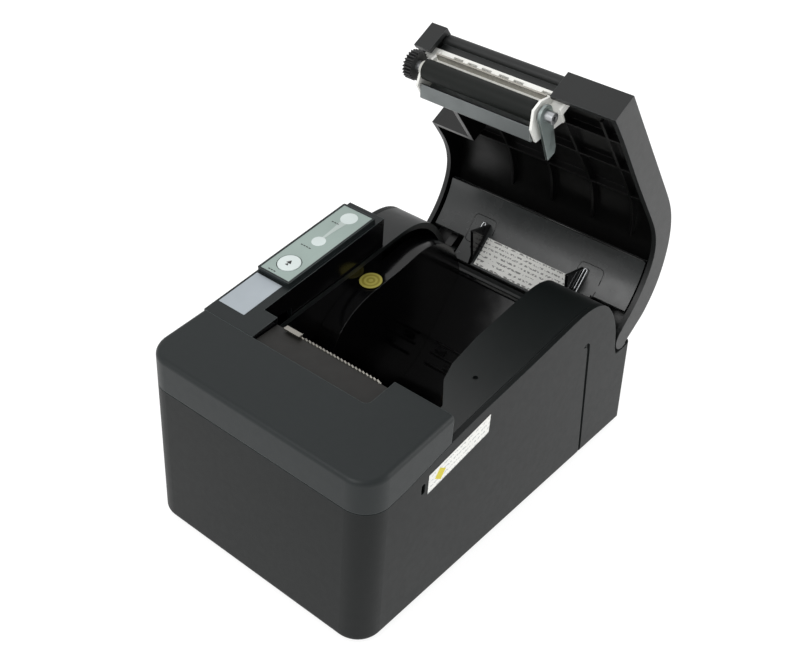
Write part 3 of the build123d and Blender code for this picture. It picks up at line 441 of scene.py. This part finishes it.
finishes = {name: buildFinish(name, look) for name, look in finishSettings.items()}
finishes.update({name: buildFinish(name, look) for name, look in metalSettings.items()})
whitePaper, chipBlack = finishSettings["whitePaper"], finishSettings["chipBlack"]
filmLook = dict(tint=(150, 166, 160), edgeWearAndHighlight=(190, 200, 198), rough=0.36, spread=0.05,
                grain=2400, bump=0.00001, edge=0.0, mottle=30)
specialFinishes = {
    # name: (look, what is drawn over it)
    "stripGrainAndShade": (finishSettings["bezelGrain"], glossAndShadeInnerWall),
    "coverGrainPaintedShade": (finishSettings["coverGrain"], paintedInsideShade),
    "printedPaper": (whitePaper, ruledLines(rowPitch=0.0017, dash=700, ink=(60, 60, 60))),
    "sideSticker": (whitePaper, stickerLines(stickerSettings)),
    "goldSeal": (dict(whitePaper, rough=sealSettings["rough"]), sealRings(sealSettings)),
    "boardGreen": (dict(chipBlack, rough=0.4), boardPattern),
    "overlayFilm": (filmLook, None),
}
for name, (look, extra) in specialFinishes.items():
    finishes[name] = buildFinish(name, look, extra)

nodeFinish = {
    "caseGrain": ["lower_case"],
    "bezelGrain": ["front_bezel", "panel_frame"],
    "stripGrainAndShade": ["control_strip"],
    "coverGrainPaintedShade": ["cover_shell"],
    "insetSatin": ["cutter_cover"],
    "blackGloss": ["roll_bin", "left_cheek", "right_cheek", "roll_flanges", "paper_guide"],
    "deckSatin": ["top_deck"],
    "panelSatin": ["inner_panel"],
    "rollerRubber": ["platen_roller"],
    "footRubber": ["rubber_feet"],
    "whiteNylon": ["platen_bushings", "motor_pinion", "idler_gear", "cutter_pinion"],
    "lensMilk": ["led_windows", "feed_button"],
    "printedPaper": ["inner_label"],
    "sideSticker": ["side_label"],
    "chipBlack": ["board_parts", "near_end_sensor", "platen_gear", "drawer_socket", "dc_socket",
                  "switch_housing", "power_switch"],
    "motorBlack": ["step_motor", "cutter_motor"],
    "ceramicHead": ["print_head"],
    "zincSheet": ["mech_frame", "cutter_frame", "bracket_screws", "case_screws", "usb_socket",
                  "hinge_pins", "platen_shaft"],
    "paleCoat": ["platen_bracket"],
    "greyPlate": ["guide_plate", "heat_sink"],
    "springWire": ["flange_springs", "head_springs", "button_spring", "hinge_springs"],
    "castAlloy": ["release_lever"],
    "silverFoil": ["silver_label"],
    "toothSteel": ["tear_edge", "cutter_blade", "fixed_blade"],
    "goldSeal": ["round_seal"],
    "boardGreen": ["main_board"],
    "overlayFilm": ["panel_overlay"],
}
for finish, names in nodeFinish.items():
    for name in names:
        mesh = nodes[name].data
        mesh.materials.clear()
        mesh.materials.append(finishes[finish])
unpainted = set(nodes) - {name for names in nodeFinish.values() for name in names}
print("finishes made:", len(finishes), "without one:", sorted(unpainted))


def addPiece(name, points, faces, finish, body, slotName, replaced=(), smooth=True):
    mesh = bpy.data.meshes.new(name)
    mesh.from_pydata(np.asarray(points).reshape(-1, 3).tolist(), [], faces)
    mesh.update()
    mesh.polygons.foreach_set("use_smooth", np.full(len(mesh.polygons), smooth))
    mesh.materials.append(finishes[finish])
    piece = bpy.data.objects.new(name, mesh)
    scene.collection.objects.link(piece)
    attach(piece, body)
    if replaced:
        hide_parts(*replaced)
    return piece


wireSides = 8


def tube(path, radius, sides, axis):
    # a circle carried along the path: each ring stands across the path's direction
    path = np.asarray(path, float)
    along = np.gradient(path, axis=0)
    along /= np.linalg.norm(along, axis=1, keepdims=True)
    across = np.cross(along, np.asarray(axis, float))
    across /= np.linalg.norm(across, axis=1, keepdims=True)
    over = np.cross(across, along)
    angle = np.linspace(0, 2 * math.pi, sides, endpoint=False)[None, :, None]
    circle = np.cos(angle) * across[:, None, :] + np.sin(angle) * over[:, None, :]
    points = path[:, None, :] + radius * circle
    ring, turn = np.meshgrid(np.arange(len(path) - 1), np.arange(sides), indexing="ij")
    following = (turn + 1) % sides
    quads = np.stack([ring * sides + turn, (ring + 1) * sides + turn, (ring + 1) * sides + following,
                      ring * sides + following], axis=-1).reshape(-1, 4).tolist()
    last = (len(path) - 1) * sides
    return points.reshape(-1, 3), quads + [list(range(sides)), list(range(last + sides - 1, last - 1, -1))]


def joined(parts):
    # several point and face sets made one
    points, faces, start = [], [], 0
    for partPoints, partFaces in parts:
        points.append(partPoints)
        faces += [[start + index for index in face] for face in partFaces]
        start += len(partPoints)
    return np.concatenate(points), faces


def coilPath(start, end, radius, turns, steps=18):
    # a helix round the line from start to end, with its last half turns closed up flat
    start, end = np.asarray(start, float), np.asarray(end, float)
    share = np.linspace(0, 1, int(turns * steps) + 1)
    eased = np.clip((share - 0.5) * turns / (turns - 1.0) + 0.5, 0, 1)
    axis = (end - start) / np.linalg.norm(end - start)
    side = np.cross(axis, (0, 0, 1.0) if abs(axis[2]) < 0.9 else (1.0, 0, 0))
    side /= np.linalg.norm(side)
    other = np.cross(axis, side)
    angle = (share * turns * 2 * math.pi)[:, None]
    return start + eased[:, None] * (end - start) + radius * (np.cos(angle) * side + np.sin(angle) * other)


def prism(outline, low, high):
    # a flat outline, given as points in 3-D, raised between two offsets
    count = len(outline)
    points = np.concatenate([outline + low, outline + high])
    walls = [[index, (index + 1) % count, count + (index + 1) % count, count + index]
             for index in range(count)]
    return points, walls + [list(range(count - 1, -1, -1)), list(range(count, 2 * count))]


def beams(centers, sizes):
    # upright boxes from centres and sizes
    sign = np.array([[x, y, z] for z in (-1, 1) for y in (-1, 1) for x in (-1, 1)]) / 2
    faces = [[0, 2, 3, 1], [4, 5, 7, 6], [0, 1, 5, 4], [2, 6, 7, 3], [0, 4, 6, 2], [1, 3, 7, 5]]
    return joined([(np.asarray(center) + sign * np.asarray(size), faces)
                   for center, size in zip(centers, sizes)])


springSettings = {
    "head": dict(wire=0.0003, radius=0.0022, turns=6, places=(-0.017, 0.018)),
    "hinge": dict(wire=0.0004, radius=0.003, turns=4.5, length=0.0033),
    "flange": dict(wire=0.0004, spread=0.0017, shorter=0.002, thin=0.8),
}


def addHeadCoils(look):
    low, high = (np.array(corner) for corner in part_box("head_springs"))
    wire = look["wire"]
    middle = (low[2] + high[2]) / 2
    coils = []
    for x in look["places"]:
        start, end = (x, low[1] + wire, middle), (x, high[1] - wire, middle)
        coils.append(tube(coilPath(start, end, look["radius"], look["turns"]), wire, wireSides, (0, 1, 0)))
    addPiece("headCoils", *joined(coils), "springWire", "case", "spring_steel", ["head_springs"])


def addHingeCoils(look):
    low, high = (np.array(corner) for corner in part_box("hinge_springs"))
    axisY, axisZ = (low[1] + high[1]) / 2, (low[2] + high[2]) / 2
    coils = []
    for outer, inward in ((low[0], 1), (high[0], -1)):
        start = (outer + inward * look["wire"], axisY, axisZ)
        end = (outer + inward * look["length"], axisY, axisZ)
        path = coilPath(start, end, look["radius"], look["turns"])
        coils.append(tube(path, look["wire"], wireSides, (1, 0, 0)))
    addPiece("hingeCoils", *joined(coils), "springWire", "case", "spring_steel", ["hinge_springs"])


def addFlangeWires(look):
    # a hairpin: up one leg, round a half circle and down the other
    low, high = (np.array(corner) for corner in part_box("flange_springs"))
    wire, half = look["wire"], look["spread"] / 2
    rise = np.array([0, high[1] - low[1], high[2] - low[2]])
    rise /= np.linalg.norm(rise)
    turn = np.linspace(0, math.pi, 12)[:, None]
    wires = []
    for x, outward in ((low[0] + wire, 1), (high[0] - wire, -1)):
        step = np.array([outward * half, 0, 0])
        foot = np.array([x, low[1] + wire, low[2] + wire])
        top = np.array([x, high[1] - wire, high[2] - wire]) - rise * half
        bow = top + step - np.cos(turn) * step + np.sin(turn) * rise * half
        secondFoot = foot + 2 * step + rise * look["shorter"]
        firstLeg = np.linspace(foot, top, 6)[:-1]
        secondLeg = np.linspace(top + 2 * step, secondFoot, 6)[1:]
        path = np.concatenate([firstLeg, bow, secondLeg])
        wires.append(tube(path, wire * look["thin"], wireSides, np.cross(rise, (1, 0, 0))))
    addPiece("flangeWires", *joined(wires), "springWire", "cover", "spring_steel", ["flange_springs"])


panelSettings = {
    "slope": 9.06,
    "labelFront": -0.0088,
    "middleX": -0.052,
    "filmHeight": 0.00254,
    "shift": 0.00002,
    "inkThickness": 0.00004,
    "button": dict(at=0.0265, capHeight=0.0028),
    "lamps": ((0.046, 0.0034), (0.067, 0.0042)),
    "band": dict(halfWidths=(0.0007, 0.0019), power=1.6, points=9, reach=0.98),
    "dashes": dict(rows=((0.0182, 3), (0.0395, 4), (0.0605, 3)),
                   start=-0.0052, pitch=0.0016, size=(0.0011, 0.0005)),
    # half width and place of each arrow; its foot lies this share of the half width back
    "arrows": ((0.0014, 0.0004), (0.0009, -0.0014)),
    "arrowFoot": 0.6,
}


def addPanelPrint(look):
    # flat printed shapes on the panel film, in a plane that follows the strip's slope
    low, high = (np.array(corner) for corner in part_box("silver_label"))
    tilt = math.radians(look["slope"])
    along = np.array([0, math.cos(tilt), math.sin(tilt)])
    out = np.array([0, -math.sin(tilt), math.cos(tilt)])
    corner = np.array([look["middleX"], low[1] + look["shift"], low[2]])
    start = corner - along * look["labelFront"]
    film = start + out * look["filmHeight"]
    ink = out * look["inkThickness"]

    def onFilm(across, forward, base=film):
        sideways = np.asarray(across)[:, None] * np.array([1.0, 0, 0])
        return base + sideways + np.asarray(forward)[:, None] * along

    # the band widens as a power of the way from one lamp to the other
    near, far = look["lamps"]
    band = look["band"]
    thin, thick = band["halfWidths"]
    reach = np.linspace(near[0] + near[1] * band["reach"], far[0] - far[1] * band["reach"], band["points"])
    width = thin + (thick - thin) * np.linspace(0, 1, band["points"]) ** band["power"]
    outline = onFilm(np.concatenate([width, -width[::-1]]), np.concatenate([reach, reach[::-1]]))
    addPiece("panelBand", *prism(outline, 0 * ink, ink), "bandFilm", "case", "lens", smooth=False)
    marks = []
    dashes = look["dashes"]
    wide, deep = dashes["size"]
    for forward, count in dashes["rows"]:
        for x in dashes["start"] + dashes["pitch"] * np.arange(count):
            dash = onFilm([x, x + wide, x + wide, x], [forward, forward, forward + deep, forward + deep])
            marks.append(prism(dash, 0 * ink, ink))
    button = look["button"]
    cap = start + out * button["capHeight"]
    for scale, forward in look["arrows"]:
        middle = button["at"] + forward
        foot = middle - scale * look["arrowFoot"]
        arrow = onFilm([-scale, scale, 0], [foot, foot, middle + scale], cap)
        marks.append(prism(arrow, 0 * ink, ink))
    addPiece("panelMarks", *joined(marks), "chipBlack", "case", "chips", smooth=False)


contactSettings = {
    "depth": 0.0065,
    "sockets": (
        dict(node="usb_socket", count=4, pitch=0.0018, size=(0.0007, 0.008, 0.0003), drop=0.0012),
        dict(node="drawer_socket", count=6, pitch=0.00125, size=(0.0004, 0.007, 0.0003), drop=0.0022),
    ),
}


def addContacts(look):
    parts = []
    for piece in look["sockets"]:
        low, high = (np.array(corner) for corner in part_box(piece["node"]))
        middle = (low + high) / 2
        offsets = (np.arange(piece["count"]) - (piece["count"] - 1) / 2) * piece["pitch"]
        centers = [(middle[0] + offset, high[1] - look["depth"], middle[2] - piece["drop"])
                   for offset in offsets]
        parts.append(beams(centers, [piece["size"]] * piece["count"]))
    addPiece("socketContacts", *joined(parts), "goldPlate", "case", "spring_steel", smooth=False)


screwSettings = {"headRadius": 0.0027, "slot": (0.0034, 0.0007, 0.0001), "lift": 0.00003}


def addScrewSlotShade(look):
    # painted shade: the crossed slots in the heads under the case are drawn as thin dark bars that stand
    # for the shade in the recesses
    low, high = (np.array(corner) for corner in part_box("case_screws"))
    radius = look["headRadius"]
    long, wide, deep = look["slot"]
    places = [(x, y, low[2] - look["lift"]) for x in (low[0] + radius, high[0] - radius)
              for y in (low[1] + radius, high[1] - radius)]
    centers = [place for place in places for _ in range(2)]
    sizes = [(long, wide, deep), (wide, long, deep)] * len(places)
    addPiece("screwSlotShade", *beams(centers, sizes), "chipBlack", "case", "chips", smooth=False)


guideSettings = {
    # closed-cover places, from the hinge axis: (back, up)
    "surface": ((-0.0215, 0.0307), (-0.0145, 0.023), (-0.0082, 0.0105), (-0.005, -0.003)),
    "ridge": dict(halfLength=0.0588, lift=(0.0001, 0.0008), rise=0.0002, wire=0.0005),
    "outline": dict(wire=0.00022, facets=6, steps=80, power=0.3, span=(0.0075, 0.0215),
                    sides=((-0.0385, -0.0245), (0.0265, 0.0405))),
    "pins": dict(radius=0.0009, facets=14, length=0.0022, place=(-0.0072, 0.0052)),
}


def openedPlaces(across, back, up):
    # points given from the hinge axis with the cover shut, turned to the open cover
    angle = -math.radians(coverPose["turn"])
    hinge = coverPose["hinge"]
    across, back, up = np.broadcast_arrays(np.asarray(across, float), back, up)
    return np.stack([across, hinge[1] + back * math.cos(angle) - up * math.sin(angle),
                     hinge[2] + back * math.sin(angle) + up * math.cos(angle)], axis=-1)


def addGuideTrim(look):
    # the guide's face is a cubic through its four side-view points
    back, up = np.array(look["surface"]).T
    face = np.polyfit(up, back, 3)
    ridge = look["ridge"]
    across = np.linspace(-ridge["halfLength"], ridge["halfLength"], 3)
    edges = []
    for step in ridge["lift"]:
        path = openedPlaces(across, back[0] + step, up[0] + ridge["rise"])
        edges.append(tube(path, ridge["wire"], wireSides, (0, 1, 0)))
    addPiece("guideRidge", *joined(edges), "blackGloss", "cover", "gloss_black")
    outline = look["outline"]
    low, high = outline["span"]
    loops = []
    for left, right in outline["sides"]:
        turn = np.linspace(0, 2 * math.pi, outline["steps"] + 1)[:-1]
        # a superellipse: a rectangle with rounded corners
        wide = np.sign(np.cos(turn)) * np.abs(np.cos(turn)) ** outline["power"]
        tall = np.sign(np.sin(turn)) * np.abs(np.sin(turn)) ** outline["power"]
        rise = (low + high) / 2 + (high - low) / 2 * tall
        places = openedPlaces((left + right) / 2 + (right - left) / 2 * wide, np.polyval(face, rise), rise)
        loops.append(tube(places, outline["wire"], outline["facets"], (0.3, 0.9, -0.3)))
    addPiece("guideOutlines", *joined(loops), "blackGloss", "cover", "gloss_black")
    pins = look["pins"]
    low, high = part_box("roll_flanges")
    ends = [(low[0] - pins["length"], low[0]), (high[0], high[0] + pins["length"])]
    rods = []
    for start, end in ends:
        path = openedPlaces(np.linspace(start, end, 3), *pins["place"])
        rods.append(tube(path, pins["radius"], pins["facets"], (0, 1, 0)))
    addPiece("flangePins", *joined(rods), "springWire", "cover", "spring_steel")


binSettings = {
    # small moulded feet and a sensor flag low on the bin's back, from its side-view arc centre
    "center": (0.0115303, 0.0575),
    "radius": 0.044,
    "ribs": dict(angles=(-52, -44, -36), across=(-0.024, -0.0075), size=(0.0008, 0.0012)),
    "blocks": ((-0.019, -40, (0.005, 0.003, 0.0022)), (-0.0105, -49, (0.004, 0.0026, 0.0018))),
}


def addBinBits(look):
    centerY, centerZ = look["center"]
    ribs = look["ribs"]
    left, right = ribs["across"]
    deep, tall = ribs["size"]
    bits = [((left + right) / 2, degrees, (right - left, deep, tall)) for degrees in ribs["angles"]]
    centers, sizes = [], []
    for across, degrees, size in bits + list(look["blocks"]):
        angle = math.radians(degrees)
        reach = look["radius"] - size[2] / 2
        centers.append((across, centerY + reach * math.cos(angle), centerZ + reach * math.sin(angle)))
        sizes.append(size)
    addPiece("binBits", *beams(centers, sizes), "chipBlack", "case", "chips", smooth=False)


addHeadCoils(springSettings["head"])
addHingeCoils(springSettings["hinge"])
addFlangeWires(springSettings["flange"])
addGuideTrim(guideSettings)
addBinBits(binSettings)
addPanelPrint(panelSettings)
addContacts(contactSettings)
addScrewSlotShade(screwSettings)
print("springs, panel print, contacts and screw slots made")
